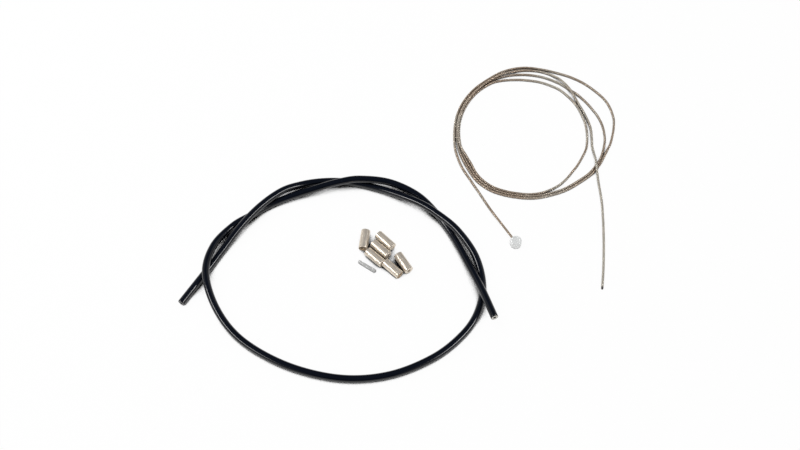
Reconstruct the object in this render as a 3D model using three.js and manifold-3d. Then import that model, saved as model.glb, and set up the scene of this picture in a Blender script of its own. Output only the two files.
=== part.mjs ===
// Bicycle brake cable, laid out flat: the cable housing in a loose double loop, its inner wire in a round
// coil with the barrel head standing on end, six housing ferrules and the crimp for the wire's free end.
// Millimetres, +Z up, everything rests on Z = 0.
import * as THREE from 'three';
import Module from 'manifold-3d';
import { mergeVertices } from 'three/addons/utils/BufferGeometryUtils.js';

// Driving sizes
const HOUSING_DIAMETER = 5.0;
const JACKET_WALL = 0.35;
const WINDING_WALL = 0.65;
const LINER_WALL = 0.25;
const LAYER_GAP = 0.12;
const WIRE_DIAMETER = 1.6;
const HEAD_DIAMETER = 7.4;
const HEAD_HEIGHT = 5.5;
const HEAD_CHAMFER = 0.5;
const FERRULE_DIAMETER = 6.2;
const FERRULE_LENGTH = 14.2;
const FERRULE_WALL = 0.4;
const FERRULE_NOSE = 1.2;
const FERRULE_EDGE = 0.55;
const CRIMP_DIAMETER = 2.2;
const CRIMP_LENGTH = 13.5;
const CRIMP_WALL = 0.22;
const SEAT_GAP = 0.3;

// Fineness of the faceted tubes
const HOUSING_SIDES = 8;
const HOUSING_STEPS = 66;
const WIRE_SIDES = 8;
const ROUND_SIDES = 20;
const SMALL_SIDES = 12;
const COIL_SIDES = 48;

// Worked out from the driving sizes
const WIRE_RADIUS = WIRE_DIAMETER / 2;
const HOUSING_LIFT = HOUSING_DIAMETER + SEAT_GAP;

// Centre line of the housing, from its left end round twice to its right end, as x, y and lift: lift 0 is
// on the table, and lift 1 rests on another stretch of the housing
const HOUSING_ROUTE = [
  [-143.4, -60.6, 0],
  [-128.5, -36.5, 0],
  [-119.5, -21.5, 0.06],
  [-109, -6.2, 0.64],
  [-96, 9.4, 1.02],
  [-81.5, 22.5, 0.91],
  [-68.5, 29.5, 0.38],
  [-55, 33, 0.08],
  [-41, 33.5, 0],
  [-27.5, 31.5, 0],
  [-13, 27, 0.08],
  [1, 20.5, 0.43],
  [14, 13, 0.85],
  [24.5, 5, 1.01],
  [38.5, -8.5, 1.02],
  [50.5, -27.5, 0.55],
  [54.6, -48.5, 0.04],
  [50.5, -67.8, 0],
  [39.9, -83.9, 0],
  [21, -99.5, 0],
  [-7, -111.3, 0],
  [-38, -113.5, 0],
  [-71.8, -104.9, 0],
  [-101.4, -87.8, 0.1],
  [-119, -67, 0.55],
  [-128.1, -42, 1.02],
  [-125, -20.5, 0.81],
  [-114, -3, 0.1],
  [-102, 6, 0],
  [-83.5, 17.5, 0.06],
  [-56, 26.5, 0.62],
  [-41, 30, 1.01],
  [-27.5, 32, 1.03],
  [-7.5, 30.5, 0.7],
  [11, 22.5, 0.17],
  [24, 9, 0],
  [35.5, -9.5, 0.03],
  [44.8, -31, 0.43],
  [53.5, -53, 1.03],
  [61, -74.5, 1.38],
];

// Places of the wire's coil and of the barrel head
const COIL_CENTRE = [93, 77];
const COIL_RADIUS = 53;
const COIL_WIDTH = 6;
const COIL_HEIGHT = 2 * WIRE_DIAMETER;
const HEAD_PLACE = [78.2, -15];
const HEAD_WIRE_HEIGHT = HEAD_HEIGHT / 2;

// Point beside the coil's ring, in the direction that the angle gives, where a straight end of the wire
// meets it
function besideCoil(degrees) {
  const angle = THREE.MathUtils.degToRad(degrees);
  const reach = COIL_RADIUS + COIL_WIDTH / 2 + WIRE_RADIUS + SEAT_GAP;
  return [COIL_CENTRE[0] + reach * Math.cos(angle), COIL_CENTRE[1] + reach * Math.sin(angle), WIRE_RADIUS];
}

// The wire from its head to the coil: the first point is the inner end of the head's socket
const WIRE_OUT = [-0.54, 0.842];
const HEAD_END_ROUTE = [
  [HEAD_PLACE[0] + WIRE_OUT[0] * SEAT_GAP, HEAD_PLACE[1] + WIRE_OUT[1] * SEAT_GAP, HEAD_WIRE_HEIGHT],
  [HEAD_PLACE[0] + WIRE_OUT[0] * 6, HEAD_PLACE[1] + WIRE_OUT[1] * 6, HEAD_WIRE_HEIGHT],
  [68.2, 1.4, 1.9],
  [61.8, 12.5, 1.0],
  [55.3, 24.6, WIRE_RADIUS],
  besideCoil(220),
];

// The wire's free end, from the coil to its tip
const TAIL_ROUTE = [
  besideCoil(-40),
  [138.8, 23.5, WIRE_RADIUS],
  [139.2, 3.5, WIRE_RADIUS],
  [137.8, -16, WIRE_RADIUS],
  [135.6, -35, WIRE_RADIUS],
  [133.6, -49.5, WIRE_RADIUS],
];

// Ferrules on the table: nose is the direction, in degrees, that the closed end points in. One lies at
// FERRULES_PLACE, and each other one against a neighbour: its held spot lies ahead of and beside a spot of
// the neighbour, along the neighbour's axis and across it to the left. A spot is the open mouth, the middle
// or the closed nose.
const FERRULES_PLACE = [-12.89, -20.61];
const MOUTH = -1;
const MIDDLE = 0;
const NOSE = 1;
const FERRULES = [
  {
    name: 'ferrule_1', nose: 82.7, held: MOUTH, against: 'ferrule_4', at: MOUTH,
    ahead: -FERRULE_DIAMETER / 2 - 0.15, beside: -0.82,
  },
  {
    name: 'ferrule_2', nose: -45.3, held: NOSE, against: 'ferrule_3', at: NOSE,
    ahead: -2.21, beside: FERRULE_DIAMETER + SEAT_GAP,
  },
  {
    name: 'ferrule_3', nose: -43.3, held: MIDDLE,
  },
  {
    name: 'ferrule_4', nose: -42.8, held: MOUTH, against: 'ferrule_3', at: MOUTH,
    ahead: 1.39, beside: -FERRULE_DIAMETER - 0.96,
  },
  {
    name: 'ferrule_5', nose: 136, held: NOSE, against: 'ferrule_4', at: NOSE,
    ahead: SEAT_GAP, beside: 1.82,
  },
  {
    name: 'ferrule_6', nose: -58, held: MIDDLE, against: 'ferrule_5', at: MOUTH,
    ahead: 5.07, beside: -FERRULE_DIAMETER - 2.1,
  },
];
const CRIMP_PLACE = { x: -22.0, y: -32.6, turn: -34.5 };

const wasm = await Module();
wasm.setup();

// Materials
const look = (color, roughness, metalness) => new THREE.MeshStandardMaterial({ color, roughness, metalness });
const jacketBlack = look(0x0c0d0f, 0.28, 0.0);
const windingSteel = look(0x9a9894, 0.4, 0.9);
const linerWhite = look(0xdedbd2, 0.5, 0.0);
const wireSteel = look(0x9b948a, 0.35, 0.9);
const headZinc = look(0xb9b7b3, 0.35, 0.85);
const ferruleBrass = look(0xb5aa96, 0.28, 0.9);
const crimpAluminium = look(0xb9b9ba, 0.35, 0.85);

// Ring of points of a regular section
function ringPoints(radius, sides) {
  const points = [];
  for (let i = 0; i < sides; i += 1) {
    const angle = (i / sides) * 2 * Math.PI;
    points.push(new THREE.Vector2(radius * Math.cos(angle), radius * Math.sin(angle)));
  }
  return points;
}

// Tube along a route, hollow where an inner radius is given
function tube(route, outer, inner, sides, steps) {
  const points = route.map((p) => new THREE.Vector3(...p));
  const curve = new THREE.CatmullRomCurve3(points, false, 'catmullrom', 0.5);
  const section = new THREE.Shape(ringPoints(outer, sides));
  if (inner > 0) {
    section.holes.push(new THREE.Path(ringPoints(inner, sides)));
  }
  const wholeSteps = Math.round(steps);
  return new THREE.ExtrudeGeometry(section, { steps: wholeSteps, bevelEnabled: false, extrudePath: curve });
}

// Turned piece about Z from a list of radius and height pairs
function turned(profile, sides) {
  const geometry = new THREE.LatheGeometry(profile.map(([r, h]) => new THREE.Vector2(r, h)), sides);
  return geometry.rotateX(Math.PI / 2);
}

// Conversions for the boolean cuts
function toSolid(geometry) {
  const bare = geometry.clone();
  bare.deleteAttribute('normal');
  bare.deleteAttribute('uv');
  const merged = mergeVertices(bare, 1e-4);
  return new wasm.Manifold(new wasm.Mesh({
    numProp: 3,
    vertProperties: new Float32Array(merged.attributes.position.array),
    triVerts: new Uint32Array(merged.index.array),
  }));
}

function toGeometry(solid) {
  const mesh = solid.getMesh();
  const geometry = new THREE.BufferGeometry();
  geometry.setAttribute('position', new THREE.BufferAttribute(new Float32Array(mesh.vertProperties), 3));
  geometry.setIndex(new THREE.BufferAttribute(new Uint32Array(mesh.triVerts), 1));
  geometry.computeVertexNormals();
  return geometry;
}

// Housing: jacket, wound steel layer and liner, one inside the other along the same route
const jacketOuter = HOUSING_DIAMETER / 2;
const jacketInner = jacketOuter - JACKET_WALL;
const windingOuter = jacketInner - LAYER_GAP;
const windingInner = windingOuter - WINDING_WALL;
const linerOuter = windingInner - LAYER_GAP;
const linerInner = linerOuter - LINER_WALL;

function housingLayer(outer, inner) {
  const route = HOUSING_ROUTE.map(([x, y, lift]) => [x, y, jacketOuter + lift * HOUSING_LIFT]);
  return tube(route, outer, inner, HOUSING_SIDES, HOUSING_STEPS);
}

// Where the mouth, the middle or the nose of a ferrule lies on the table
function ferrulePoint(place, spot) {
  let [x, y] = FERRULES_PLACE;
  const neighbour = FERRULES.find((other) => other.name === place.against);
  if (neighbour) {
    const way = THREE.MathUtils.degToRad(neighbour.nose);
    [x, y] = ferrulePoint(neighbour, place.at);
    x += place.ahead * Math.cos(way) - place.beside * Math.sin(way);
    y += place.ahead * Math.sin(way) + place.beside * Math.cos(way);
  }
  const angle = THREE.MathUtils.degToRad(place.nose);
  const reach = ((spot - place.held) * FERRULE_LENGTH) / 2;
  return [x + reach * Math.cos(angle), y + reach * Math.sin(angle)];
}

// Ferrule: a cup for the housing with a small hole in its closed nose, lying on its side
function ferruleGeometry(place) {
  const outer = FERRULE_DIAMETER / 2;
  const bore = outer - FERRULE_WALL;
  const hole = WIRE_RADIUS + SEAT_GAP;
  const half = FERRULE_LENGTH / 2;
  const profile = [
    [bore, -half],
    [outer - 0.1, -half],
    [outer, -half + 0.3],
    [outer, half - FERRULE_EDGE],
    [outer - 0.3 * FERRULE_EDGE, half - 0.3 * FERRULE_EDGE],
    [outer - FERRULE_EDGE, half],
    [hole, half],
    [hole, half - FERRULE_NOSE],
    [bore, half - FERRULE_NOSE],
    [bore, -half],
  ];
  const geometry = turned(profile, ROUND_SIDES);
  geometry.rotateY(-Math.PI / 2);
  geometry.rotateX(Math.PI / ROUND_SIDES);
  geometry.rotateZ(THREE.MathUtils.degToRad(place.nose));
  const [x, y] = ferrulePoint(place, MIDDLE);
  return geometry.translate(x, y, outer * Math.cos(Math.PI / ROUND_SIDES));
}

// Barrel head: a short turned barrel on its end with a side socket that the wire is cast into
function headGeometry() {
  const radius = HEAD_DIAMETER / 2;
  const barrel = turned([
    [0, -HEAD_HEIGHT],
    [radius - HEAD_CHAMFER, -HEAD_HEIGHT],
    [radius, -HEAD_HEIGHT + HEAD_CHAMFER],
    [radius, -HEAD_CHAMFER],
    [radius - HEAD_CHAMFER, 0],
    [0, 0],
  ], ROUND_SIDES + 4);
  barrel.rotateX(Math.PI);
  const bore = WIRE_RADIUS + SEAT_GAP;
  const socket = new THREE.CylinderGeometry(bore, bore, HEAD_DIAMETER, SMALL_SIDES);
  socket.translate(0, HEAD_DIAMETER / 2, 0);
  socket.rotateZ(Math.atan2(WIRE_OUT[1], WIRE_OUT[0]) - Math.PI / 2);
  socket.translate(0, 0, HEAD_WIRE_HEIGHT);
  const cut = toSolid(barrel).subtract(toSolid(socket));
  return toGeometry(cut).translate(HEAD_PLACE[0], HEAD_PLACE[1], 0);
}

// Coil: the outer shape of the wire's turns as one closed ring
function coilGeometry() {
  const inner = COIL_RADIUS - COIL_WIDTH / 2;
  const outer = COIL_RADIUS + COIL_WIDTH / 2;
  const round = COIL_HEIGHT / 4;
  const ring = turned([
    [inner + round, 0],
    [outer - round, 0],
    [outer, round],
    [outer, COIL_HEIGHT - round],
    [outer - round, COIL_HEIGHT],
    [inner + round, COIL_HEIGHT],
    [inner, COIL_HEIGHT - round],
    [inner, round],
    [inner + round, 0],
  ], COIL_SIDES);
  return ring.translate(COIL_CENTRE[0], COIL_CENTRE[1], 0);
}

// Crimp: a thin open sleeve for the wire's tip
function crimpGeometry() {
  const outer = CRIMP_DIAMETER / 2;
  const bore = outer - CRIMP_WALL;
  const half = CRIMP_LENGTH / 2;
  const geometry = turned([
    [bore, -half],
    [outer, -half],
    [outer, half],
    [bore, half],
    [bore, -half],
  ], SMALL_SIDES);
  geometry.rotateY(Math.PI / 2);
  geometry.rotateX(Math.PI / SMALL_SIDES);
  geometry.rotateZ(THREE.MathUtils.degToRad(CRIMP_PLACE.turn));
  return geometry.translate(CRIMP_PLACE.x, CRIMP_PLACE.y, outer * Math.cos(Math.PI / SMALL_SIDES));
}

// Assembly
const group = new THREE.Group();

function add(name, geometry, material) {
  const mesh = new THREE.Mesh(geometry, material);
  mesh.name = name;
  group.add(mesh);
}

add('housing_jacket', housingLayer(jacketOuter, jacketInner), jacketBlack);
add('housing_winding', housingLayer(windingOuter, windingInner), windingSteel);
add('housing_liner', housingLayer(linerOuter, linerInner), linerWhite);
add('inner_wire_head_end', tube(HEAD_END_ROUTE, WIRE_RADIUS, 0, WIRE_SIDES, 18), wireSteel);
add('inner_wire_coil', coilGeometry(), wireSteel);
add('inner_wire_tail', tube(TAIL_ROUTE, WIRE_RADIUS, 0, WIRE_SIDES, 24), wireSteel);
add('barrel_head', headGeometry(), headZinc);
for (const place of FERRULES) {
  add(place.name, ferruleGeometry(place), ferruleBrass);
}
add('end_crimp', crimpGeometry(), crimpAluminium);

// The origin is the middle of the underside of the whole
const box = new THREE.Box3().setFromObject(group);
const middle = box.getCenter(new THREE.Vector3());
for (const mesh of group.children) {
  mesh.geometry.translate(-middle.x, -middle.y, -box.min.z);
}

export default group;
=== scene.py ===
"""Bicycle brake cable laid out on a table: looped housing, coiled inner wire with its barrel head, housing
ferrules and an end crimp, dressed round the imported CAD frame. Metres, +Z up."""

import math

import bmesh
import bpy
import numpy as np
from mathutils import Matrix, Vector


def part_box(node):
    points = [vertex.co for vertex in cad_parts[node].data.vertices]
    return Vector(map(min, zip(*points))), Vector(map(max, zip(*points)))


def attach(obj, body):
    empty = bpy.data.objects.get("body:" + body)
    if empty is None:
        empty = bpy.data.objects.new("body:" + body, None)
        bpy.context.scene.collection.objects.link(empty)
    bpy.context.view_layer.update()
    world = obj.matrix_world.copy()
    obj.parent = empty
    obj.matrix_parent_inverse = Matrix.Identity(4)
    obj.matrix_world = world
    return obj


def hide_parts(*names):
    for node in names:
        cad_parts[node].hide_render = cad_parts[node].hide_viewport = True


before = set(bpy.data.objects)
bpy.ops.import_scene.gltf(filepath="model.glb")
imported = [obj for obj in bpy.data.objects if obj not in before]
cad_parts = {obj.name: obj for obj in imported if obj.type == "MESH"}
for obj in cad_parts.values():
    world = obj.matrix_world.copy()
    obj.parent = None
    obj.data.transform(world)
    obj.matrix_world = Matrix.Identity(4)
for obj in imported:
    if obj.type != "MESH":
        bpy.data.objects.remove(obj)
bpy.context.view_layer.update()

bl_info = {
    "name": "Brake cable builder",
    "version": (1, 0, 0),
    "blender": (4, 5, 0),
    "location": "View3D > Sidebar > Brake cable",
    "description": "Builds a laid-out bicycle brake cable round its CAD frame",
    "category": "Object",
}

MM = 0.001

# Where the barrel head stands in the numbers that the routes below are written in
HEAD_PLACE = Vector((0.0782, -0.015, 0.0))


def frame_shift():
    """Step from the routes' numbers to the frame, found from the CAD barrel head."""
    low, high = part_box("barrel_head")
    return Vector(((low[0] + high[0]) / 2 - HEAD_PLACE.x, (low[1] + high[1]) / 2 - HEAD_PLACE.y, low[2]))


SHIFT = frame_shift()

# Centre line of the housing, as in the part's source: x, y in metres and lift, where 0 lies on the table and
# 1 rests on another stretch of the housing
HOUSING_ROUTE = [
    (-0.1434, -0.0606, 0), (-0.1285, -0.0365, 0), (-0.1195, -0.0215, 0.06), (-0.109, -0.0062, 0.64),
    (-0.096, 0.0094, 1.02), (-0.0815, 0.0225, 0.91), (-0.0685, 0.0295, 0.38), (-0.055, 0.033, 0.08),
    (-0.041, 0.0335, 0), (-0.0275, 0.0315, 0), (-0.013, 0.027, 0.08), (0.001, 0.0205, 0.43),
    (0.014, 0.013, 0.85), (0.0245, 0.005, 1.01), (0.0385, -0.0085, 1.02), (0.0505, -0.0275, 0.55),
    (0.0546, -0.0485, 0.04), (0.0505, -0.0678, 0), (0.0399, -0.0839, 0), (0.021, -0.0995, 0),
    (-0.007, -0.1113, 0), (-0.038, -0.1135, 0), (-0.0718, -0.1049, 0), (-0.1014, -0.0878, 0.1),
    (-0.119, -0.067, 0.55), (-0.1281, -0.042, 1.02), (-0.125, -0.0205, 0.81), (-0.114, -0.003, 0.1),
    (-0.102, 0.006, 0), (-0.0835, 0.0175, 0.06), (-0.056, 0.0265, 0.62), (-0.041, 0.030, 1.01),
    (-0.0275, 0.032, 1.03), (-0.0075, 0.0305, 0.7), (0.011, 0.0225, 0.17), (0.024, 0.009, 0),
    (0.0355, -0.0095, 0.03), (0.0448, -0.031, 0.43), (0.0535, -0.053, 1.03), (0.061, -0.0745, 1.38),
]

# The wire from the middle of its head to the coil, x, y, z
WIRE_LEAD = [
    (0.07805, -0.01475, 0.00275),
    (0.07496, -0.00995, 0.00275),
    (0.0682, 0.0014, 0.0019),
    (0.0618, 0.0125, 0.0010),
    (0.0553, 0.0246, 0.0008),
    (0.0492, 0.0356, 0.0008),
]

# The wire's turns round the coil's centre, clockwise from the side that the lead joins: angle in degrees from
# +X, then the wire's distance from the centre and its height, both in millimetres
COIL_CENTRE = (0.091, 0.077)
WIRE_TURNS = [
    (214, 56.7, 0.8), (205, 55.2, 0.8), (195, 53.9, 0.8), (180, 52.1, 0.8), (165, 51.8, 0.8),
    (150, 51.8, 0.8), (135, 52.2, 0.8), (120, 53.0, 0.8), (105, 55.4, 0.8), (90, 56.8, 0.8),
    (75, 56.9, 0.8), (60, 58.2, 0.8), (52, 59.6, 0.8), (43, 61.2, 0.8), (33, 62.8, 0.8), (25, 64.2, 0.8),
    (18, 64.4, 0.8), (10, 63.8, 0.8), (4, 62.5, 0.8), (-2, 61.1, 0.8), (-10, 59.6, 0.8), (-16, 58.2, 0.8),
    (-22, 57.4, 0.8), (-30, 57.0, 0.8), (-40, 56.4, 0.8), (-50, 55.4, 0.8), (-65, 55.3, 0.8),
    (-80, 55.6, 0.8), (-90, 56.2, 0.8), (-100, 56.3, 0.8), (-110, 56.8, 0.8), (-120, 57.2, 0.8),
    (-130, 56.4, 0.8), (-138, 54.8, 0.8), (214, 53.3, 0.8), (205, 52.2, 0.8), (195, 51.3, 0.8),
    (180, 50.4, 0.8), (165, 50.15, 0.8), (150, 50.15, 0.8), (135, 50.5, 0.8), (120, 51.0, 0.8),
    (105, 50.8, 0.8), (90, 50.4, 0.8), (75, 50.1, 0.8), (60, 49.7, 0.8), (47, 49.4, 0.8), (40, 50.2, 0.8),
    (30, 50.9, 0.8), (22, 51.8, 0.8), (14, 53.2, 0.8), (6, 54.3, 0.8), (-2, 55.0, 0.8), (-10, 55.4, 0.8),
    (-22, 55.5, 0.8), (-30, 55.3, 0.8), (-40, 54.7, 0.8), (-50, 53.7, 0.8), (-65, 53.6, 0.8),
    (-80, 53.9, 0.8), (-90, 54.5, 0.8), (-100, 54.6, 0.8), (-110, 55.1, 0.8), (-120, 55.5, 0.8),
    (-130, 54.7, 0.8), (-138, 53.1, 0.8), (214, 51.6, 0.8), (205, 50.5, 0.8), (195, 49.6, 0.8),
    (180, 48.75, 0.8), (165, 48.5, 0.8), (150, 48.5, 0.8), (135, 48.8, 0.8), (120, 48.9, 0.8),
    (110, 47.8, 0.8), (100, 46.4, 0.8), (90, 45.5, 0.8), (75, 45.1, 0.8), (60, 44.8, 0.8), (52, 44.5, 0.8),
    (41, 43.7, 0.8), (30, 43.2, 0.8), (18, 42.5, 0.8), (9, 42.6, 0.8), (-2, 42.6, 0.8), (-12, 43.0, 0.8),
    (-22, 43.6, 0.8), (-39, 44.3, 0.8), (-48, 45.3, 0.8), (-58, 47.5, 0.8), (-68, 49.8, 0.8),
    (-80, 51.9, 0.8), (-90, 52.8, 0.8), (-100, 52.95, 0.8), (-110, 53.4, 0.8), (-120, 53.75, 0.8),
    (-130, 52.9, 0.8), (-138, 51.4, 0.9), (214, 49.6, 1.3), (205, 49.3, 2.0), (195, 49.9, 2.3),
    (180, 49.6, 2.28), (165, 49.35, 2.28), (150, 49.35, 2.28), (135, 49.7, 2.28), (120, 50.9, 2.35),
    (108, 52.3, 2.1), (98, 53.3, 1.3), (90, 54.2, 0.8), (80, 54.6, 0.8), (72, 54.4, 0.8), (66, 53.8, 1.0),
    (60, 52.5, 1.7), (53, 50.4, 2.35), (46, 48.3, 2.4), (39, 46.6, 1.5), (31, 45.3, 0.8), (23, 44.9, 0.8),
    (12, 45.1, 0.8), (3, 45.7, 0.8), (-7, 46.1, 0.8), (-16, 47.3, 0.8), (-22, 49.7, 1.1),
    (-27.4, 52.5, 2.1), (-32.7, 55.6, 2.4), (-37.5, 59.2, 1.9),
]

# The wire's free end, from the coil to its tip
WIRE_TAIL = [
    (0.1383, 0.0345, 0.0010), (0.1388, 0.0276, 0.0008), (0.1392, 0.0207, 0.0008), (0.1393, 0.0142, 0.0008),
    (0.1391, 0.0079, 0.0008), (0.1389, 0.0015, 0.0008), (0.1385, -0.0048, 0.0008),
    (0.1381, -0.0110, 0.0008), (0.1376, -0.0172, 0.0008), (0.1370, -0.0234, 0.0008),
    (0.1364, -0.0295, 0.0008), (0.1357, -0.0355, 0.0008), (0.1349, -0.0415, 0.0008),
    (0.1337, -0.0495, 0.0008),
]

# Directions, in degrees, that the ferrules' closed noses and the crimp point in
FERRULE_TURNS = {
    "ferrule_1": 82.7,
    "ferrule_2": -45.3,
    "ferrule_3": -43.3,
    "ferrule_4": -42.8,
    "ferrule_5": 136.0,
    "ferrule_6": -58.0,
}
CRIMP_TURN = -34.5

# The photograph's view: looking along +Y and down, aimed at the routes' zero point on the table
VIEW_ELEVATION = 60.0
VIEW_DISTANCE = 0.8
PHOTO_WIDTH = 800
METRES_A_PIXEL = 0.000683

# V of the UV maps along the housing and the wire counts centimetres
PER_METRE = 100

# Fineness: steps of the curve between two points of a route, distance between the rings of a tube, how many
# rings outside go with one in the bore, and sides of a ring
CURVE_STEPS = 24
FINE_STEP = 0.0006
COARSE_STEP = 0.0024
JACKET_BORE_EVERY = 10
LAYER_BORE_EVERY = 4
JACKET_SIDES = 28
LINER_SIDES = 24
HEAD_SIDES = 72
FERRULE_SIDES = 56
CRIMP_SIDES = 40

# Small shapes that no setting changes, as shares of the wire's or the head's radius
STRAND_VALLEY = 0.85
FUSED_RADIUS = 0.93
HEAD_RIM, HEAD_DISH, HEAD_PIT, HEAD_PIT_FLOOR = 0.72, 0.66, 0.26, 0.2

# Small shapes that no setting changes, in metres
HOUSING_END_EDGE = 0.00012
HEAD_DISH_DEPTH = 0.00022
HEAD_PIT_DEPTH = 0.0003
LIP_RADIUS = 0.00105
LIP_THICKNESS = 0.00032
LIP_SUNK = 0.0001
NOSE_HOLE = 0.0011
NOSE_EDGE = 0.00055
MOUTH_EDGE = 0.00009
HOLE_EDGE = 0.00018
CRIMP_EDGE = 0.00012

# How much of its thickness the head's lip keeps when it is flattened, and how much of its radius the wire's
# tip keeps at its very end
LIP_FLATTENED = 0.8
TIP_ROUNDED = 0.7

# Back from the wire's tip: where its brown stain starts to fade and where it is gone
PALE_END = (0.16, 0.11)

# How open the table is where its shade starts and where it ends: to the camera, in reflections, and in the
# painted shade that darkens its colour
CAMERA_SHADE = (0.41, 0.53)
MIRROR_SHADE = (0.35, 0.6)
PAINTED_SHADE = (0.44, 0.6)

# Edges that turn by more than this stay hard, in degrees: on the modelled pieces and on the lip
HARD_EDGE = 35
LIP_HARD_EDGE = 60

# How nearly a face or an edge has to lie in its place to be picked
FLAT = 0.9
SAME_HEIGHT = 1e-6
SAME_RADIUS = 2e-5
ON_AXIS = 1e-5

# Colour sockets of a Mix node, whose names are shared by its other kinds of sockets
MIX_FIRST, MIX_SECOND, MIX_RESULT = 6, 7, 2


def length_setting(name, description, default, precision=5):
    """A length that a user would change."""
    return bpy.props.FloatProperty(
        name=name, description=description, default=default, unit="LENGTH", precision=precision
    )


def level_setting(name, description, default):
    """A strength of light that a user would change."""
    return bpy.props.FloatProperty(name=name, description=description, default=default)


def colour_setting(name, description, rgb):
    """An opaque colour that a user would change."""
    return bpy.props.FloatVectorProperty(
        name=name, description=description, default=(*rgb, 1.0), size=4, subtype="COLOR"
    )


class HousingSettings(bpy.types.PropertyGroup):
    """Sizes and colours of the cable housing."""

    diameter: length_setting("Diameter", "Across the jacket", 0.005)
    jacket_wall: length_setting("Jacket wall", "Thickness of the plastic", 0.00035)
    winding_wall: length_setting("Winding wall", "Thickness of the steel strip", 0.00065)
    liner_wall: length_setting("Liner wall", "Thickness of the liner", 0.00025)
    layer_gap: length_setting("Layer gap", "Clearance between layers", 0.00012)
    stack_gap: length_setting("Stack gap", "Clearance where the housing crosses itself", 0.0003)
    strip_pitch: length_setting("Strip pitch", "Step of the wound strip, which shows through", 0.0026)
    rib_depth: length_setting("Rib depth", "How far the strip shows through", 0.000012, precision=6)
    jacket_colour: colour_setting("Jacket colour", "Black plastic", (0.0012, 0.0017, 0.0040))
    liner_colour: colour_setting("Liner colour", "Off-white liner", (0.70, 0.66, 0.56))
    cut_colour: colour_setting("Cut colour", "Steel of the clean cut end", (0.86, 0.83, 0.76))
    shear_colour: colour_setting("Shear colour", "Steel of the sheared end", (0.12, 0.12, 0.12))


class WireSettings(bpy.types.PropertyGroup):
    """Sizes and colours of the inner wire and its head."""

    diameter: length_setting("Diameter", "Across the stranded wire", 0.0016)
    strands: bpy.props.IntProperty(name="Strands", description="Outer strands of the wire", default=12)
    lay: length_setting("Lay", "Length in which a strand goes once round", 0.0125)
    tip: length_setting("Fused tip", "Length of the fused end", 0.0022)
    crown_colour: colour_setting("Crown colour", "Steel on the strands' crowns", (1.0, 0.92, 0.78))
    stain_colour: colour_setting("Stain colour", "Oiled brown stretches", (0.78, 0.61, 0.46))
    head_colour: colour_setting("Head colour", "Cast metal of the head", (0.95, 0.96, 0.95))
    head_edge: length_setting("Head edge", "Rounding of the head's edges", 0.0006)


class FittingSettings(bpy.types.PropertyGroup):
    """Sizes and colours of the ferrules and the crimp."""

    ferrule_diameter: length_setting("Ferrule diameter", "Across a ferrule", 0.0062)
    ferrule_length: length_setting("Ferrule length", "Length of a ferrule", 0.0142)
    ferrule_wall: length_setting("Ferrule wall", "Wall at the mouth", 0.0004)
    ferrule_nose: length_setting("Nose", "Thickness of the closed end", 0.0012)
    ferrule_colour: colour_setting("Ferrule colour", "Warm plated metal", (0.84, 0.74, 0.61))
    crimp_diameter: length_setting("Crimp diameter", "Across the crimp", 0.0022)
    crimp_length: length_setting("Crimp length", "Length of the crimp", 0.0135)
    crimp_wall: length_setting("Crimp wall", "Wall of the crimp", 0.00022)
    crimp_colour: colour_setting("Crimp colour", "Soft metal of the crimp", (0.60, 0.60, 0.59))


class StageSettings(bpy.types.PropertyGroup):
    """Floor and light."""

    floor_colour: colour_setting("Floor colour", "White table", (1.0, 1.0, 1.0))
    fill: level_setting("Fill", "Level of the light from all round", 0.55)
    key: level_setting("Key", "Power of the large soft lamp, in watts", 6.0)
    ceiling: level_setting("Ceiling", "Level that reflections see overhead", 0.12)
    strip: level_setting("Strips", "Level of the side lamps in reflections", 16.0)
    flank: level_setting("Flanks", "Level round the side lamps in reflections", 0.4)
    shade_reach: length_setting("Shade reach", "How near pieces shade the table", 0.012, precision=4)


# Curves and tubes


def placed(points):
    """Points of a route in the frame."""
    return [Vector(p) + SHIFT for p in points]


def smooth_line(points, step):
    """The smooth curve through the points, as places evenly spaced by about step."""
    p = np.array([tuple(q) for q in points], float)
    ends = np.vstack([2 * p[0] - p[1], p, 2 * p[-1] - p[-2]])
    fine = []
    for i in range(len(p) - 1):
        p0, p1, p2, p3 = ends[i : i + 4]
        t = np.linspace(0, 1, CURVE_STEPS, endpoint=False)[:, None]
        square = (2 * p0 - 5 * p1 + 4 * p2 - p3) * t**2
        cube = (3 * p1 - p0 - 3 * p2 + p3) * t**3
        fine.append(0.5 * (2 * p1 + (p2 - p0) * t + square + cube))
    fine = np.vstack([*fine, p[-1:]])
    run = np.concatenate([[0], np.cumsum(np.linalg.norm(np.diff(fine, axis=0), axis=1))])
    count = max(2, round(run[-1] / step) + 1)
    even = np.linspace(0, run[-1], count)
    line = np.stack([np.interp(even, run, fine[:, k]) for k in range(3)], axis=1)
    return line, even


def frames_along(line):
    """Two unit directions across the line at each of its places, turning as little as possible."""
    tangent = np.gradient(line, axis=0)
    tangent /= np.linalg.norm(tangent, axis=1)[:, None]
    across = np.zeros_like(line)
    first = np.cross(tangent[0], (0.0, 0.0, 1.0))
    across[0] = first / np.linalg.norm(first)
    for i in range(1, len(line)):
        turned = across[i - 1] - tangent[i] * np.dot(across[i - 1], tangent[i])
        across[i] = turned / np.linalg.norm(turned)
    return across, np.cross(tangent, across)


def rings(line, sides, radii, turns=None):
    """Rings of points round the line. radii is one number a ring, or one a ring and side."""
    across, upward = frames_along(line)
    angle = np.arange(sides) / sides * 2 * math.pi
    angle = np.tile(angle, (len(line), 1))
    if turns is not None:
        angle = angle + turns[:, None]
    radii = np.broadcast_to(np.asarray(radii, float).reshape(len(line), -1), (len(line), sides))
    sideways = across[:, None, :] * np.cos(angle)[:, :, None]
    reach = sideways + upward[:, None, :] * np.sin(angle)[:, :, None]
    return line[:, None, :] + reach * radii[:, :, None]


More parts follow.
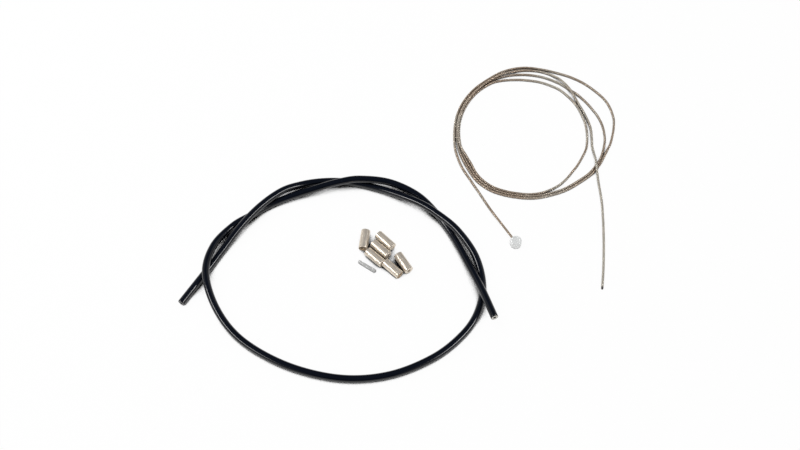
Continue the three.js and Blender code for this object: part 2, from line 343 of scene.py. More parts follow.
def wall(count, sides, start, run):
    """Faces between rings that follow each other, with the UV of each corner: round in u, along in v."""
    i, j = np.meshgrid(np.arange(count - 1), np.arange(sides), indexing="ij")
    i, j = i.ravel(), j.ravel()
    after = (j + 1) % sides
    here, ahead = i * sides, (i + 1) * sides
    faces = start + np.stack([here + j, here + after, ahead + after, ahead + j], axis=1)
    u0, u1 = j / sides, (j + 1) / sides
    v0, v1 = run[i] * PER_METRE, run[i + 1] * PER_METRE
    uv = np.stack([u0, v0, u1, v0, u1, v1, u0, v1], axis=1).reshape(-1, 4, 2)
    return faces, uv


def mesh_piece(name, points, faces, uv, material):
    """A new object of a mesh with a UV map, smooth and with its faces outwards."""
    mesh = bpy.data.meshes.new(name)
    mesh.from_pydata(points.reshape(-1, 3).tolist(), [], faces)
    layer = mesh.uv_layers.new(name="around_and_along")
    layer.data.foreach_set("uv", np.asarray(uv, "f").ravel())
    made = bmesh.new()
    made.from_mesh(mesh)
    bmesh.ops.recalc_face_normals(made, faces=made.faces[:])
    made.to_mesh(mesh)
    made.free()
    mesh.polygons.foreach_set("use_smooth", [True] * len(mesh.polygons))
    mesh.materials.append(material)
    piece = bpy.data.objects.new(name, mesh)
    bpy.context.scene.collection.objects.link(piece)
    return piece


def hollow_tube(name, line, run, outer, inner, sides, inner_every, material, cuts=()):
    """A tube with its bore: fine rings outside, coarser ones inside, joined at both ends. cuts holds the
    materials of the first and the last end face, where they differ from the rest."""
    chosen = np.unique(np.append(np.arange(0, len(line), inner_every), len(line) - 1))
    outside = rings(line, sides, outer)
    inside = rings(line, sides, np.full(len(line), inner))[chosen]
    points = np.concatenate([outside.reshape(-1, 3), inside.reshape(-1, 3)])
    start = len(line) * sides
    faces, uv = wall(len(line), sides, 0, run)
    inner_faces, inner_uv = wall(len(chosen), sides, start, run[chosen])
    j = np.arange(sides)
    after = (j + 1) % sides
    caps = []
    last_rings = ((len(line) - 1) * sides, start + (len(chosen) - 1) * sides)
    for out_ring, in_ring in ((0, start), last_rings):
        caps.append(np.stack([out_ring + j, out_ring + after, in_ring + after, in_ring + j], axis=1))
    cap_uv = np.zeros((2 * sides, 4, 2))
    all_faces = np.concatenate([faces, inner_faces[:, ::-1], *caps])
    all_uv = np.concatenate([uv, inner_uv[:, ::-1], cap_uv])
    piece = mesh_piece(name, points, all_faces.tolist(), all_uv, material)
    total = len(all_faces)
    for k, cut in enumerate(cuts):
        piece.data.materials.append(cut)
        first = total - (2 - k) * sides
        for face in range(first, first + sides):
            piece.data.polygons[face].material_index = k + 1
            piece.data.polygons[face].use_smooth = False
    return piece


# Materials


class Nodes:
    """Short names for the nodes of a tree."""

    def __init__(self, tree):
        self.tree = tree

    def node(self, kind, **settings):
        made = self.tree.nodes.new(kind)
        for key, value in settings.items():
            if key.startswith("in_"):
                made.inputs[key[3:].replace("_", " ")].default_value = value
            else:
                setattr(made, key, value)
        return made

    def join(self, source, target):
        self.tree.links.new(source, target)

    def feed(self, value, socket):
        """Joins an output to the socket, or sets the socket to a plain value."""
        if isinstance(value, bpy.types.NodeSocket):
            self.join(value, socket)
        else:
            socket.default_value = value

    def coordinates(self, output="Object"):
        return self.node("ShaderNodeTexCoord").outputs[output]

    def split(self, vector):
        made = self.node("ShaderNodeSeparateXYZ")
        self.join(vector, made.inputs["Vector"])
        return made.outputs["X"], made.outputs["Y"], made.outputs["Z"]

    def spread(self, value, low, high, start=0.0, end=1.0, smooth=False):
        """Low at start, rising or falling to high at end, and level beyond them."""
        made = self.node(
            "ShaderNodeMapRange",
            interpolation_type="SMOOTHSTEP" if smooth else "LINEAR",
            in_From_Min=start,
            in_From_Max=end,
            in_To_Min=low,
            in_To_Max=high,
        )
        self.join(value, made.inputs["Value"])
        return made.outputs["Result"]

    def sums(self, operation, a, b):
        made = self.node("ShaderNodeMath", operation=operation)
        for socket, value in zip(made.inputs, (a, b)):
            self.feed(value, socket)
        return made.outputs["Value"]

    def away(self, value, middle=0.0):
        """Distance of the value from the middle."""
        return self.sums("ABSOLUTE", self.sums("SUBTRACT", value, middle), 0.0)

    def blend(self, kind, factor, first, second):
        """Two colours mixed."""
        made = self.node("ShaderNodeMix", data_type="RGBA", blend_type=kind)
        self.feed(factor, made.inputs["Factor"])
        self.feed(first, made.inputs[MIX_FIRST])
        self.feed(second, made.inputs[MIX_SECOND])
        return made.outputs[MIX_RESULT]

    def ramp(self, value, *stops):
        made = self.node("ShaderNodeValToRGB")
        points = made.color_ramp.elements
        while len(points) < len(stops):
            points.new(0.5)
        for point, (place, colour) in zip(points, stops):
            point.position = place
            point.color = colour
        self.join(value, made.inputs["Fac"])
        return made.outputs["Color"]

    def seen(self, *kinds):
        """1 for rays of any of these kinds."""
        rays = self.node("ShaderNodeLightPath")
        value = rays.outputs[kinds[0]]
        for kind in kinds[1:]:
            value = self.sums("MAXIMUM", value, rays.outputs[kind])
        return value

    def mix(self, factor, first, second):
        made = self.node("ShaderNodeMixShader")
        self.join(factor, made.inputs["Fac"])
        self.join(first, made.inputs[1])
        self.join(second, made.inputs[2])
        return made.outputs["Shader"]


class Finish(Nodes):
    """A material under construction."""

    def __init__(self, name, colour, metal, roughness):
        self.material = bpy.data.materials.new(name)
        self.material.use_nodes = True
        super().__init__(self.material.node_tree)
        self.shader = self.tree.nodes["Principled BSDF"]
        self.shader.inputs["Base Color"].default_value = colour
        self.shader.inputs["Metallic"].default_value = metal
        self.shader.inputs["Roughness"].default_value = roughness
        self.material.diffuse_color = colour

    def noise(self, scale, detail=3.0):
        made = self.node("ShaderNodeTexNoise", in_Scale=scale, in_Detail=detail, in_Roughness=0.55)
        self.join(self.coordinates(), made.inputs["Vector"])
        return made.outputs["Fac"]

    def around_and_along(self):
        return self.split(self.coordinates("UV"))[:2]

    def bump(self, height, strength, distance):
        made = self.node("ShaderNodeBump", in_Strength=strength, in_Distance=distance)
        self.join(height, made.inputs["Height"])
        self.join(made.outputs["Normal"], self.shader.inputs["Normal"])

    def colour(self, socket):
        self.join(socket, self.shader.inputs["Base Color"])

    def roughness(self, socket):
        self.join(socket, self.shader.inputs["Roughness"])


def grey(level):
    return (level, level, level, 1.0)


def cool(level):
    """A bluish grey."""
    return (0.7 * level, 0.9 * level, 1.3 * level, 1.0)


def tint(colour, factor):
    """The colour made lighter or darker."""
    return (*[min(1.0, c * factor) for c in colour[:3]], 1.0)


def jacket_plastic(settings):
    """Glossy black extruded plastic with fine die lines."""
    black = tuple(settings.jacket_colour)
    made = Finish("glossy_black_jacket", black, 0.0, 0.1)
    made.shader.inputs["Specular IOR Level"].default_value = 0.5
    around, along = made.around_and_along()
    made.colour(made.ramp(made.noise(45.0), (0.3, black), (0.75, tint(black, 1.9))))
    lines = made.node("ShaderNodeTexNoise", noise_dimensions="2D", in_Scale=1.0, in_Detail=2.0)
    stretched = made.node("ShaderNodeCombineXYZ")
    made.join(made.sums("MULTIPLY", around, 70.0), stretched.inputs["X"])
    made.join(made.sums("MULTIPLY", along, 0.8), stretched.inputs["Y"])
    made.join(stretched.outputs["Vector"], lines.inputs["Vector"])
    made.roughness(made.spread(lines.outputs["Fac"], 0.07, 0.13, 0.3, 0.75))
    made.bump(lines.outputs["Fac"], 0.05, 0.0001)
    return made.material


def strip_steel(settings):
    """Bare steel strip wound edge to edge."""
    made = Finish("wound_steel_strip", (0.42, 0.4, 0.36, 1.0), 0.85, 0.42)
    around, along = made.around_and_along()
    turns = made.sums("ADD", made.sums("MULTIPLY", along, 1 / (PER_METRE * settings.strip_pitch)), around)
    edge = made.away(made.sums("FRACT", turns, 0.0), 0.5)
    made.colour(made.ramp(edge, (0.40, (0.46, 0.44, 0.4, 1.0)), (0.49, (0.05, 0.045, 0.04, 1.0))))
    made.roughness(made.spread(made.noise(900.0), 0.32, 0.55))
    made.bump(edge, 0.4, 0.0001)
    return made.material


def cut_face(name, colour):
    """An end face, with the marks of the cut."""
    made = Finish(name, tuple(colour), 0.7, 0.4)
    made.colour(made.ramp(made.noise(1800.0, 2.0), (0.3, tint(colour, 0.78)), (0.7, tuple(colour))))
    made.roughness(made.spread(made.noise(2600.0), 0.3, 0.5))
    return made.material


def liner_plastic(name, colour):
    """Plastic with a dull sheen, for the liner's cut face and for its bore."""
    made = Finish(name, tuple(colour), 0.0, 0.45)
    made.colour(made.ramp(made.noise(300.0), (0.35, tint(colour, 0.85)), (0.7, tuple(colour))))
    made.roughness(made.spread(made.noise(700.0), 0.38, 0.55))
    return made.material


def wire_steel(settings, length):
    """Stranded steel with oiled brown stains and a fused dark tip. The crowns keep the full colour; painted
    shade darkens the grooves between the strands and, in brown, the places where the wire is closed in.
    """
    crown = tuple(settings.crown_colour)
    made = Finish("stranded_steel", crown, 0.3, 0.5)
    around, along = made.around_and_along()
    # Painted shade in the grooves between the strands: the colour darkens where the strands' relief is low,
    # with random wear mixed into the same level
    wave = made.sums("COSINE", made.sums("MULTIPLY", around, 2 * math.pi * settings.strands), 0.0)
    height = made.spread(wave, 0.0, 1.0, -1.0, 1.0)
    worn = made.noise(260.0, 4.0)
    lit = made.sums("ADD", made.sums("MULTIPLY", height, 0.78), made.sums("MULTIPLY", worn, 0.32))
    shade = made.ramp(lit, (0.18, grey(0.16)), (0.6, grey(0.75)), (0.95, grey(1.0)))
    patches = made.spread(made.noise(22.0, 2.0), 0.0, 1.0, 0.34, 0.56, smooth=True)
    fades = [(length - place) * PER_METRE for place in PALE_END]
    stain = made.sums("MULTIPLY", patches, made.spread(along, 1.0, 0.0, *fades))
    steel = made.blend("MIX", stain, crown, tuple(settings.stain_colour))
    steel = made.blend("MULTIPLY", 1.0, steel, shade)
    # Painted shade: the colour darkens to brown where neighbouring turns and the table close in on the wire
    gaps = made.node("ShaderNodeAmbientOcclusion", samples=8, in_Distance=settings.diameter)
    painted_gap_shade = made.ramp(gaps.outputs["AO"], (0.3, (0.14, 0.10, 0.08, 1.0)), (0.8, grey(1.0)))
    steel = made.blend("MULTIPLY", 1.0, steel, painted_gap_shade)
    fused = made.spread(
        along, 0.0, 1.0, (length - settings.tip) * PER_METRE, (length - 0.6 * settings.tip) * PER_METRE
    )
    made.colour(made.blend("MIX", fused, steel, (0.05, 0.04, 0.035, 1.0)))
    made.roughness(made.spread(worn, 0.42, 0.62))
    made.bump(made.noise(2600.0, 2.0), 0.15, 0.00005)
    return made.material


def cast_metal(settings):
    """Pale cast metal with a faint skin."""
    pale = tuple(settings.head_colour)
    made = Finish("cast_head_metal", pale, 0.12, 0.4)
    made.colour(made.ramp(made.noise(420.0), (0.32, tint(pale, 0.93)), (0.6, pale)))
    made.roughness(made.spread(made.noise(900.0), 0.36, 0.46))
    made.bump(made.noise(1500.0, 3.0), 0.04, 0.00004)
    return made.material


def plated_metal(settings):
    """Warm plated metal with fine handling marks."""
    warm = tuple(settings.ferrule_colour)
    made = Finish("plated_ferrule", warm, 0.5, 0.28)
    made.colour(made.ramp(made.noise(350.0), (0.3, tint(warm, 0.86)), (0.72, tint(warm, 1.08))))
    made.roughness(made.spread(made.noise(1300.0, 4.0), 0.25, 0.33))
    made.bump(made.noise(2200.0, 2.0), 0.02, 0.00002)
    return made.material


def soft_metal(settings):
    """Dull soft metal of the crimp."""
    pale = tuple(settings.crimp_colour)
    made = Finish("crimp_metal", pale, 0.15, 0.65)
    made.shader.inputs["Specular IOR Level"].default_value = 0.2
    made.colour(made.ramp(made.noise(600.0), (0.3, tint(pale, 0.94)), (0.7, pale)))
    made.roughness(made.spread(made.noise(1500.0), 0.6, 0.7))
    made.bump(made.noise(1800.0, 2.0), 0.03, 0.00004)
    return made.material


# Shaping with Blender's own tools


def clear_selection():
    if bpy.context.object and bpy.context.object.mode != "OBJECT":
        bpy.ops.object.mode_set(mode="OBJECT")
    bpy.ops.object.select_all(action="DESELECT")


def cylinder(name, radius, depth, vertices):
    """A capped cylinder along Z at the origin."""
    clear_selection()
    bpy.ops.mesh.primitive_cylinder_add(vertices=vertices, radius=radius, depth=depth, end_fill_type="NGON")
    piece = bpy.context.object
    piece.name = name
    piece.data.name = name
    return piece


def pick(piece, kind, test):
    """In edit mode, selects only the faces or edges that pass the test."""
    bpy.ops.mesh.select_mode(type=kind)
    bpy.ops.mesh.select_all(action="DESELECT")
    made = bmesh.from_edit_mesh(piece.data)
    chosen = [part for part in (made.faces if kind == "FACE" else made.edges) if test(part)]
    if not chosen:
        raise RuntimeError(f"{piece.name}: nothing of kind {kind} to work on")
    for part in chosen:
        part.select_set(True)
    made.select_flush_mode()
    bmesh.update_edit_mesh(piece.data)


def end_face(height):
    """Test for a flat face across Z at that height."""

    def test(face):
        return abs(face.normal.z) > FLAT and abs(face.calc_center_median().z - height) < SAME_HEIGHT

    return test


def central_face(lowest):
    """Test for a flat face across Z that is centred on the axis, above that height."""

    def test(face):
        centre = face.calc_center_median()
        return abs(face.normal.z) > FLAT and math.hypot(centre.x, centre.y) < ON_AXIS and centre.z > lowest

    return test


def edge_ring(radius, *heights):
    """Test for an edge of the ring of that radius at one of the heights."""

    def near(corner, height):
        across = math.hypot(corner.x, corner.y)
        return abs(corner.z - height) < SAME_HEIGHT and abs(across - radius) < SAME_RADIUS

    return lambda edge: any(all(near(v.co, height) for v in edge.verts) for height in heights)


def inset_to(radius_now, radius_wanted, sides):
    """Inset of a regular face from one ring to a smaller one."""
    bpy.ops.mesh.inset(thickness=(radius_now - radius_wanted) * math.cos(math.pi / sides), depth=0)


def put(piece, turn, centre):
    """Turns a piece modelled along Z to lie at the angle given, at its place, with all of it in the mesh."""
    lie = Matrix.Rotation(math.radians(turn), 4, "Z") @ Matrix.Rotation(math.radians(90), 4, "Y")
    piece.data.transform(Matrix.Translation(centre) @ lie)
    piece.data.update()


def smooth(piece, degrees):
    """Smooth shading, with edges left hard where they turn by more than that."""
    clear_selection()
    piece.select_set(True)
    bpy.context.view_layer.objects.active = piece
    bpy.ops.object.shade_smooth_by_angle(angle=math.radians(degrees))


def join_frame(piece, slot, *nodes):
    """The frame of a piece: it joins the body root, and the CAD nodes that it stands for are hidden. The slot
    is not used.
    """
    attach(piece, "root")
    if nodes:
        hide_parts(*nodes)


def finish_piece(piece, material, slot, *nodes):
    """Shading, material and frame of a piece that is modelled by hand."""
    smooth(piece, HARD_EDGE)
    piece.data.materials.clear()
    piece.data.materials.append(material)
    join_frame(piece, slot, *nodes)


def node_centre(node):
    low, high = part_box(node)
    return (Vector(low) + Vector(high)) / 2


class CABLE_OT_stage(bpy.types.Operator):
    """Camera of the photograph, white table and soft studio light"""

    bl_idname = "brake_cable.set_stage"
    bl_label = "Set the stage"

    def execute(self, context):
        settings = context.scene.brake_stage
        self.camera(context)
        self.world(context, settings)
        self.floor(settings)
        self.lamp("key", (-0.55, 0.25, 1.0), (0.9, 0.9), settings.key)
        return {"FINISHED"}

    def camera(self, context):
        data = bpy.data.cameras.new("photo_camera")
        data.sensor_width = 36.0
        data.lens = VIEW_DISTANCE / METRES_A_PIXEL / PHOTO_WIDTH * data.sensor_width
        data.clip_start = 0.01
        data.clip_end = 20.0
        camera = bpy.data.objects.new("photo_camera", data)
        rise = math.radians(VIEW_ELEVATION)
        back = Vector((0.0, -math.cos(rise), math.sin(rise)))
        camera.location = Vector((SHIFT.x, SHIFT.y, 0.0)) + back * VIEW_DISTANCE
        camera.rotation_euler = (math.radians(90.0 - VIEW_ELEVATION), 0.0, 0.0)
        context.scene.collection.objects.link(camera)
        context.scene.camera = camera
        context.scene.view_settings.view_transform = "Standard"

    def world(self, context, settings):
        """Even light all round. Reflections see a dark ceiling and, on both sides, a narrow bright lamp in a
        dim glow. The numbers are parts of the direction that is looked in, from -1 to 1 each way."""
        world = bpy.data.worlds.new("soft_room")
        world.use_nodes = True
        room = Nodes(world.node_tree)
        room.tree.nodes.clear()
        x, y, z = room.split(room.coordinates("Generated"))
        ceiling = room.ramp(
            z,
            (0.0, grey(1.0)),
            (0.05, grey(0.5)),
            (0.2, cool(0.5 * settings.ceiling)),
            (0.55, cool(0.6 * settings.ceiling)),
            (0.85, cool(settings.ceiling)),
        )
        lamp_height = room.spread(room.away(z, 0.6), 1.0, 0.0, 0.02, 0.09)
        lamp_side = room.spread(room.away(x), 0.0, 1.0, 0.55, 0.72)
        lamp_front = room.spread(y, 1.0, 0.0, 0.02, 0.14)
        lamp = room.sums("MULTIPLY", room.sums("MULTIPLY", lamp_height, lamp_side), lamp_front)
        glow_height = room.spread(room.away(z, 0.5), 1.0, 0.0, 0.12, 0.35)
        glow_side = room.spread(room.away(x), 0.0, 1.0, 0.35, 0.65)
        glow = room.sums("MULTIPLY", glow_height, glow_side)
        level = room.sums(
            "ADD", room.sums("MULTIPLY", lamp, settings.strip), room.sums("MULTIPLY", glow, settings.flank)
        )
        bright = room.node("ShaderNodeBackground", in_Color=grey(1.0))
        room.join(level, bright.inputs["Strength"])
        dark = room.node("ShaderNodeBackground", in_Strength=1.0)
        room.join(ceiling, dark.inputs["Color"])
        mirrored = room.node("ShaderNodeAddShader")
        room.join(bright.outputs["Background"], mirrored.inputs[0])
        room.join(dark.outputs["Background"], mirrored.inputs[1])
        white = room.node("ShaderNodeBackground", in_Color=grey(1.0), in_Strength=1.0)
        fill = room.node("ShaderNodeBackground", in_Color=grey(1.0), in_Strength=settings.fill)
        shown = room.mix(room.seen("Is Glossy Ray"), fill.outputs["Background"], mirrored.outputs["Shader"])
        clear_view = room.seen("Is Camera Ray", "Is Transmission Ray")
        shown = room.mix(clear_view, shown, white.outputs["Background"])
        output = room.node("ShaderNodeOutputWorld")
        room.join(shown, output.inputs["Surface"])
        context.scene.world = world

    def floor(self, settings):
        """White table: pure white where it is open; where the pieces close in on it, its real shade shows and
        its colour is darkened as painted shade.
        """
        clear_selection()
        bpy.ops.mesh.primitive_plane_add(size=12.0, location=(0.0, 0.0, 0.0))
        floor = bpy.context.object
        floor.name = "white_table"
        white = tuple(settings.floor_colour)
        made = Finish("white_table", white, 0.0, 0.9)
        made.shader.inputs["Specular IOR Level"].default_value = 0.0
        open_sky = made.node("ShaderNodeAmbientOcclusion", samples=12, in_Distance=settings.shade_reach)
        openness = open_sky.outputs["AO"]
        # Painted shade: the table's colour darkens almost to black where the pieces close in on it
        closed, opened = PAINTED_SHADE
        made.colour(made.ramp(openness, (closed, tint(white, 0.01)), (opened, white)))
        glow = made.node("ShaderNodeEmission", in_Color=white, in_Strength=1.0)
        direct = made.sums(
            "MULTIPLY",
            made.seen("Is Camera Ray"),
            made.spread(openness, 0.0, 0.96, *CAMERA_SHADE, smooth=True),
        )
        mirrored = made.sums(
            "MULTIPLY",
            made.seen("Is Glossy Ray", "Is Transmission Ray"),
            made.spread(openness, 0.0, 0.95, *MIRROR_SHADE, smooth=True),
        )
        lit = made.sums("MAXIMUM", direct, mirrored)
        shown = made.mix(lit, made.shader.outputs["BSDF"], glow.outputs["Emission"])
        made.join(shown, made.tree.nodes["Material Output"].inputs["Surface"])
        floor.data.materials.append(made.material)

    def lamp(self, name, place, size, power):
        data = bpy.data.lights.new(name, "AREA")
        data.shape = "RECTANGLE"
        data.size, data.size_y = size
        data.energy = power
        lamp = bpy.data.objects.new(name, data)
        lamp.location = place
        lamp.visible_glossy = False
        lamp.rotation_euler = (-Vector(place)).to_track_quat("-Z", "Y").to_euler()
        bpy.context.scene.collection.objects.link(lamp)


class CABLE_OT_housing(bpy.types.Operator):
    """Jacket, wound steel strip and liner of the housing, laid in its loops"""

    bl_idname = "brake_cable.lay_housing"
    bl_label = "Lay the housing"

    def execute(self, context):
        settings = context.scene.brake_housing
        radius = settings.diameter / 2
        lift = settings.diameter + settings.stack_gap
        route = placed([(x, y, radius + up * lift) for x, y, up in HOUSING_ROUTE])
        line, run = smooth_line(route, FINE_STEP)
        rib = 0.5 - 0.5 * np.cos(2 * math.pi * run / settings.strip_pitch)
        outer = radius - settings.rib_depth * rib
        outer[[0, -1]] -= HOUSING_END_EDGE
        bore = radius - settings.jacket_wall
        jacket = hollow_tube(
            "brake_housing",
            line,
            run,
            outer,
            bore,
            JACKET_SIDES,
            JACKET_BORE_EVERY,
            jacket_plastic(settings),
        )
        join_frame(jacket, "jacket_plastic", "housing_jacket")

        coarse, coarse_run = smooth_line(route, COARSE_STEP)
        strip_outer = bore - settings.layer_gap
        strip_inner = strip_outer - settings.winding_wall
        strip = hollow_tube(
            "wound_strip",
            coarse,
            coarse_run,
            np.full(len(coarse), strip_outer),
            strip_inner,
            JACKET_SIDES,
            LAYER_BORE_EVERY,
            strip_steel(settings),
            (
                cut_face("sheared_steel", settings.shear_colour),
                cut_face("ground_steel", settings.cut_colour),
            ),
        )
        join_frame(strip, "winding_steel", "housing_winding")

        liner_outer = strip_inner - settings.layer_gap
        liner = hollow_tube(
            "liner_tube",
            coarse,
            coarse_run,
            np.full(len(coarse), liner_outer),
            liner_outer - settings.liner_wall,
            LINER_SIDES,
            LAYER_BORE_EVERY,
            # The liner's body is painted at 3% of its colour: painted shade down its bore
            liner_plastic("painted_shade_liner", tint(settings.liner_colour, 0.03)),
            (
                cut_face("sheared_liner", settings.shear_colour),
                liner_plastic("cut_liner", settings.liner_colour),
            ),
        )
        join_frame(liner, "liner_plastic", "housing_liner")

        return {"FINISHED"}


def coil_points():
    """Places of the wire round the coil, in the routes' numbers."""
    points = []
    for angle, reach, height in WIRE_TURNS:
        direction = math.radians(angle)
        x = COIL_CENTRE[0] + reach * MM * math.cos(direction)
        y = COIL_CENTRE[1] + reach * MM * math.sin(direction)
        points.append((x, y, height * MM))
    return points


class CABLE_OT_wire(bpy.types.Operator):
    """Stranded inner wire from its head, round the coil, to its fused tip"""

    bl_idname = "brake_cable.coil_wire"
    bl_label = "Coil the inner wire"

    def execute(self, context):
        settings = context.scene.brake_wire
        radius = settings.diameter / 2
        route = placed(WIRE_LEAD + coil_points() + WIRE_TAIL)
        line, run = smooth_line(route, FINE_STEP)
        length = float(run[-1])
        sides = 2 * settings.strands
        crown = np.where(np.arange(sides) % 2 == 0, radius, STRAND_VALLEY * radius)
        fused = np.clip((run - (length - settings.tip)) / (0.5 * settings.tip), 0, 1)[:, None]
        radii = crown[None, :] * (1 - fused) + FUSED_RADIUS * radius * fused
        radii[-1] *= TIP_ROUNDED
        turns = run / settings.lay * 2 * math.pi
        points = rings(line, sides, radii, turns)
        faces, uv = wall(len(line), sides, 0, run)
        last = (len(line) - 1) * sides
        ends = [list(range(sides)), list(range(last, last + sides))]
        all_uv = np.concatenate([uv.reshape(-1, 2), np.tile((0.0, length * PER_METRE), (2 * sides, 1))])
        wire = mesh_piece("inner_wire", points, faces.tolist() + ends, all_uv, wire_steel(settings, length))
        join_frame(wire, "wire_steel", "inner_wire_head_end", "inner_wire_coil", "inner_wire_tail")
        return {"FINISHED"}


class CABLE_OT_head(bpy.types.Operator):
    """Cast barrel head on the wire's end, dished at both ends, and its lip round the wire"""

    bl_idname = "brake_cable.cast_head"
    bl_label = "Cast the barrel head"

    def execute(self, context):
        settings = context.scene.brake_wire
        low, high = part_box("barrel_head")
        radius = (high[0] - low[0]) / 2
        height = high[2] - low[2]
        sides = HEAD_SIDES
        head = cylinder("cast_barrel_head", radius, height, sides)
        bpy.ops.object.mode_set(mode="EDIT")
        pick(head, "EDGE", edge_ring(radius, height / 2, -height / 2))
        bpy.ops.mesh.bevel(offset=settings.head_edge, segments=5, affect="EDGES")
        for end in (1, -1):
            pick(head, "FACE", end_face(end * height / 2))
            inset_to(radius - settings.head_edge, HEAD_RIM * radius, sides)
            inset_to(HEAD_RIM * radius, HEAD_DISH * radius, sides)
            bpy.ops.transform.translate(value=(0.0, 0.0, -end * HEAD_DISH_DEPTH))
            inset_to(HEAD_DISH * radius, HEAD_PIT * radius, sides)
            inset_to(HEAD_PIT * radius, HEAD_PIT_FLOOR * radius, sides)
            bpy.ops.transform.translate(value=(0.0, 0.0, -end * HEAD_PIT_DEPTH))
        bpy.ops.object.mode_set(mode="OBJECT")
        head.data.transform(Matrix.Translation(node_centre("barrel_head")))
        metal = cast_metal(settings)
        finish_piece(head, metal, "head_metal", "barrel_head")
        self.collar(metal, radius)
        return {"FINISHED"}

    def collar(self, metal, head_radius):
        """The small cast lip round the wire where it leaves the head."""
        start, after = (Vector(p) + SHIFT for p in WIRE_LEAD[:2])
        out = (after - start).normalized()
        clear_selection()
        bpy.ops.mesh.primitive_torus_add(
            major_radius=LIP_RADIUS, minor_radius=LIP_THICKNESS, major_segments=40, minor_segments=14
        )
        lip = bpy.context.object
        lip.name = "head_lip"
        lip.data.name = "head_lip"
        bpy.ops.object.mode_set(mode="EDIT")
        bpy.ops.mesh.select_all(action="SELECT")
        bpy.ops.transform.resize(value=(1.0, 1.0, LIP_FLATTENED), center_override=(0.0, 0.0, 0.0))
        bpy.ops.object.mode_set(mode="OBJECT")
        place = start + out * (head_radius - LIP_SUNK)
        lip.data.transform(Matrix.Translation(place) @ out.to_track_quat("Z", "Y").to_matrix().to_4x4())
        smooth(lip, LIP_HARD_EDGE)
        lip.data.materials.append(metal)
        join_frame(lip, "head_metal")


class CABLE_OT_ferrules(bpy.types.Operator):
    """Housing ferrules: drawn cups with a rounded nose and a small hole for the wire"""

    bl_idname = "brake_cable.turn_ferrules"
    bl_label = "Turn the ferrules"

    def execute(self, context):
        settings = context.scene.brake_fittings
        metal = plated_metal(settings)
        master = self.cup(settings)
        for name, turn in FERRULE_TURNS.items():
            piece = bpy.data.objects.new("cup_" + name, master.data.copy())
            piece.data.name = piece.name
            context.scene.collection.objects.link(piece)
            put(piece, turn, node_centre(name))
            finish_piece(piece, metal, "ferrule_metal", name)
        bpy.data.objects.remove(master)
        return {"FINISHED"}

    def cup(self, settings):
        """One ferrule along Z, nose up."""
        sides = FERRULE_SIDES
        radius = settings.ferrule_diameter / 2
        half = settings.ferrule_length / 2
        bore = radius - settings.ferrule_wall
        floor = half - settings.ferrule_nose
        cup = cylinder("ferrule_master", radius, 2 * half, sides)
        bpy.ops.object.mode_set(mode="EDIT")
        pick(cup, "FACE", end_face(-half))
        inset_to(radius, bore, sides)
        bpy.ops.mesh.extrude_region_move(TRANSFORM_OT_translate={"value": (0.0, 0.0, floor + half)})
        inset_to(bore, NOSE_HOLE, sides)
        pick(cup, "FACE", end_face(half))
        inset_to(radius, NOSE_HOLE, sides)
        pick(cup, "FACE", central_face(0.0))
        bpy.ops.mesh.bridge_edge_loops()
        mouth_outside, mouth_inside = edge_ring(radius, -half), edge_ring(bore, -half)
        for test, offset, segments in (
            (edge_ring(radius, half), NOSE_EDGE, 5),
            (lambda edge: mouth_outside(edge) or mouth_inside(edge), MOUTH_EDGE, 3),
            (edge_ring(NOSE_HOLE, half), HOLE_EDGE, 3),
        ):
            pick(cup, "EDGE", test)
            bpy.ops.mesh.bevel(offset=offset, segments=segments, affect="EDGES")
        bpy.ops.mesh.select_all(action="SELECT")
        bpy.ops.mesh.normals_make_consistent(inside=False)
        bpy.ops.object.mode_set(mode="OBJECT")
        return cup


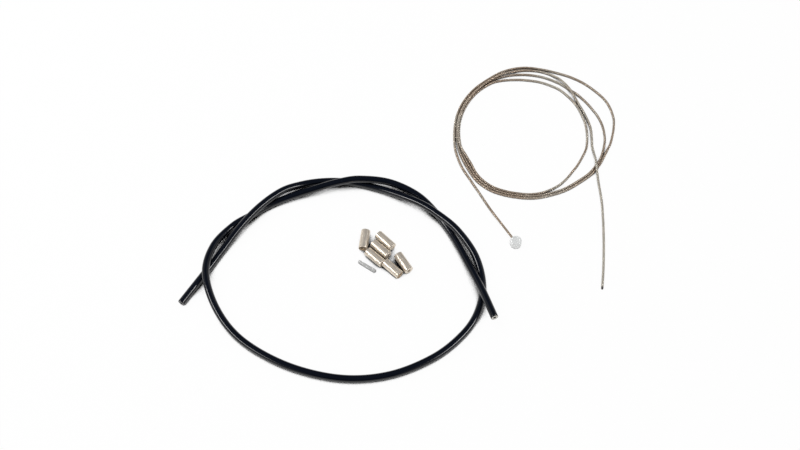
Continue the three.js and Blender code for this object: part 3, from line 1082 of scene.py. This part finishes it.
class CABLE_OT_crimp(bpy.types.Operator):
    """Thin open sleeve that is squeezed on the wire's cut end"""

    bl_idname = "brake_cable.roll_crimp"
    bl_label = "Roll the crimp"

    def execute(self, context):
        settings = context.scene.brake_fittings
        sides = CRIMP_SIDES
        radius = settings.crimp_diameter / 2
        bore = radius - settings.crimp_wall
        half = settings.crimp_length / 2
        sleeve = cylinder("crimp_sleeve", radius, 2 * half, sides)
        bpy.ops.object.mode_set(mode="EDIT")
        for end in (1, -1):
            pick(sleeve, "FACE", end_face(end * half))
            inset_to(radius, bore, sides)
        pick(sleeve, "FACE", central_face(-half - bore))
        bpy.ops.mesh.bridge_edge_loops()
        for end in (1, -1):
            pick(sleeve, "EDGE", edge_ring(radius, end * half))
            bpy.ops.mesh.bevel(offset=CRIMP_EDGE, segments=3, affect="EDGES")
        bpy.ops.mesh.select_all(action="SELECT")
        bpy.ops.mesh.normals_make_consistent(inside=False)
        bpy.ops.object.mode_set(mode="OBJECT")
        put(sleeve, CRIMP_TURN, node_centre("end_crimp"))
        finish_piece(sleeve, soft_metal(settings), "crimp_metal", "end_crimp")
        return {"FINISHED"}


class CABLE_PT_panel(bpy.types.Panel):
    """Lists the builder's steps"""

    bl_idname = "CABLE_PT_panel"
    bl_label = "Brake cable"
    bl_space_type = "VIEW_3D"
    bl_region_type = "UI"
    bl_category = "Brake cable"

    def draw(self, context):
        for step in STEPS:
            self.layout.operator(step.bl_idname)


SETTINGS = {
    "brake_housing": HousingSettings,
    "brake_wire": WireSettings,
    "brake_fittings": FittingSettings,
    "brake_stage": StageSettings,
}
STEPS = (
    CABLE_OT_stage,
    CABLE_OT_housing,
    CABLE_OT_wire,
    CABLE_OT_head,
    CABLE_OT_ferrules,
    CABLE_OT_crimp,
)


def register():
    for name, group in SETTINGS.items():
        bpy.utils.register_class(group)
        setattr(bpy.types.Scene, name, bpy.props.PointerProperty(type=group))
    for step in STEPS:
        bpy.utils.register_class(step)
    bpy.utils.register_class(CABLE_PT_panel)


def unregister():
    bpy.utils.unregister_class(CABLE_PT_panel)
    for step in reversed(STEPS):
        bpy.utils.unregister_class(step)
    for name, group in SETTINGS.items():
        delattr(bpy.types.Scene, name)
        bpy.utils.unregister_class(group)


def main():
    register()
    bpy.ops.brake_cable.set_stage()
    bpy.ops.brake_cable.lay_housing()
    bpy.ops.brake_cable.coil_wire()
    bpy.ops.brake_cable.cast_head()
    bpy.ops.brake_cable.turn_ferrules()
    bpy.ops.brake_cable.roll_crimp()


if __name__ == "__main__":
    main()
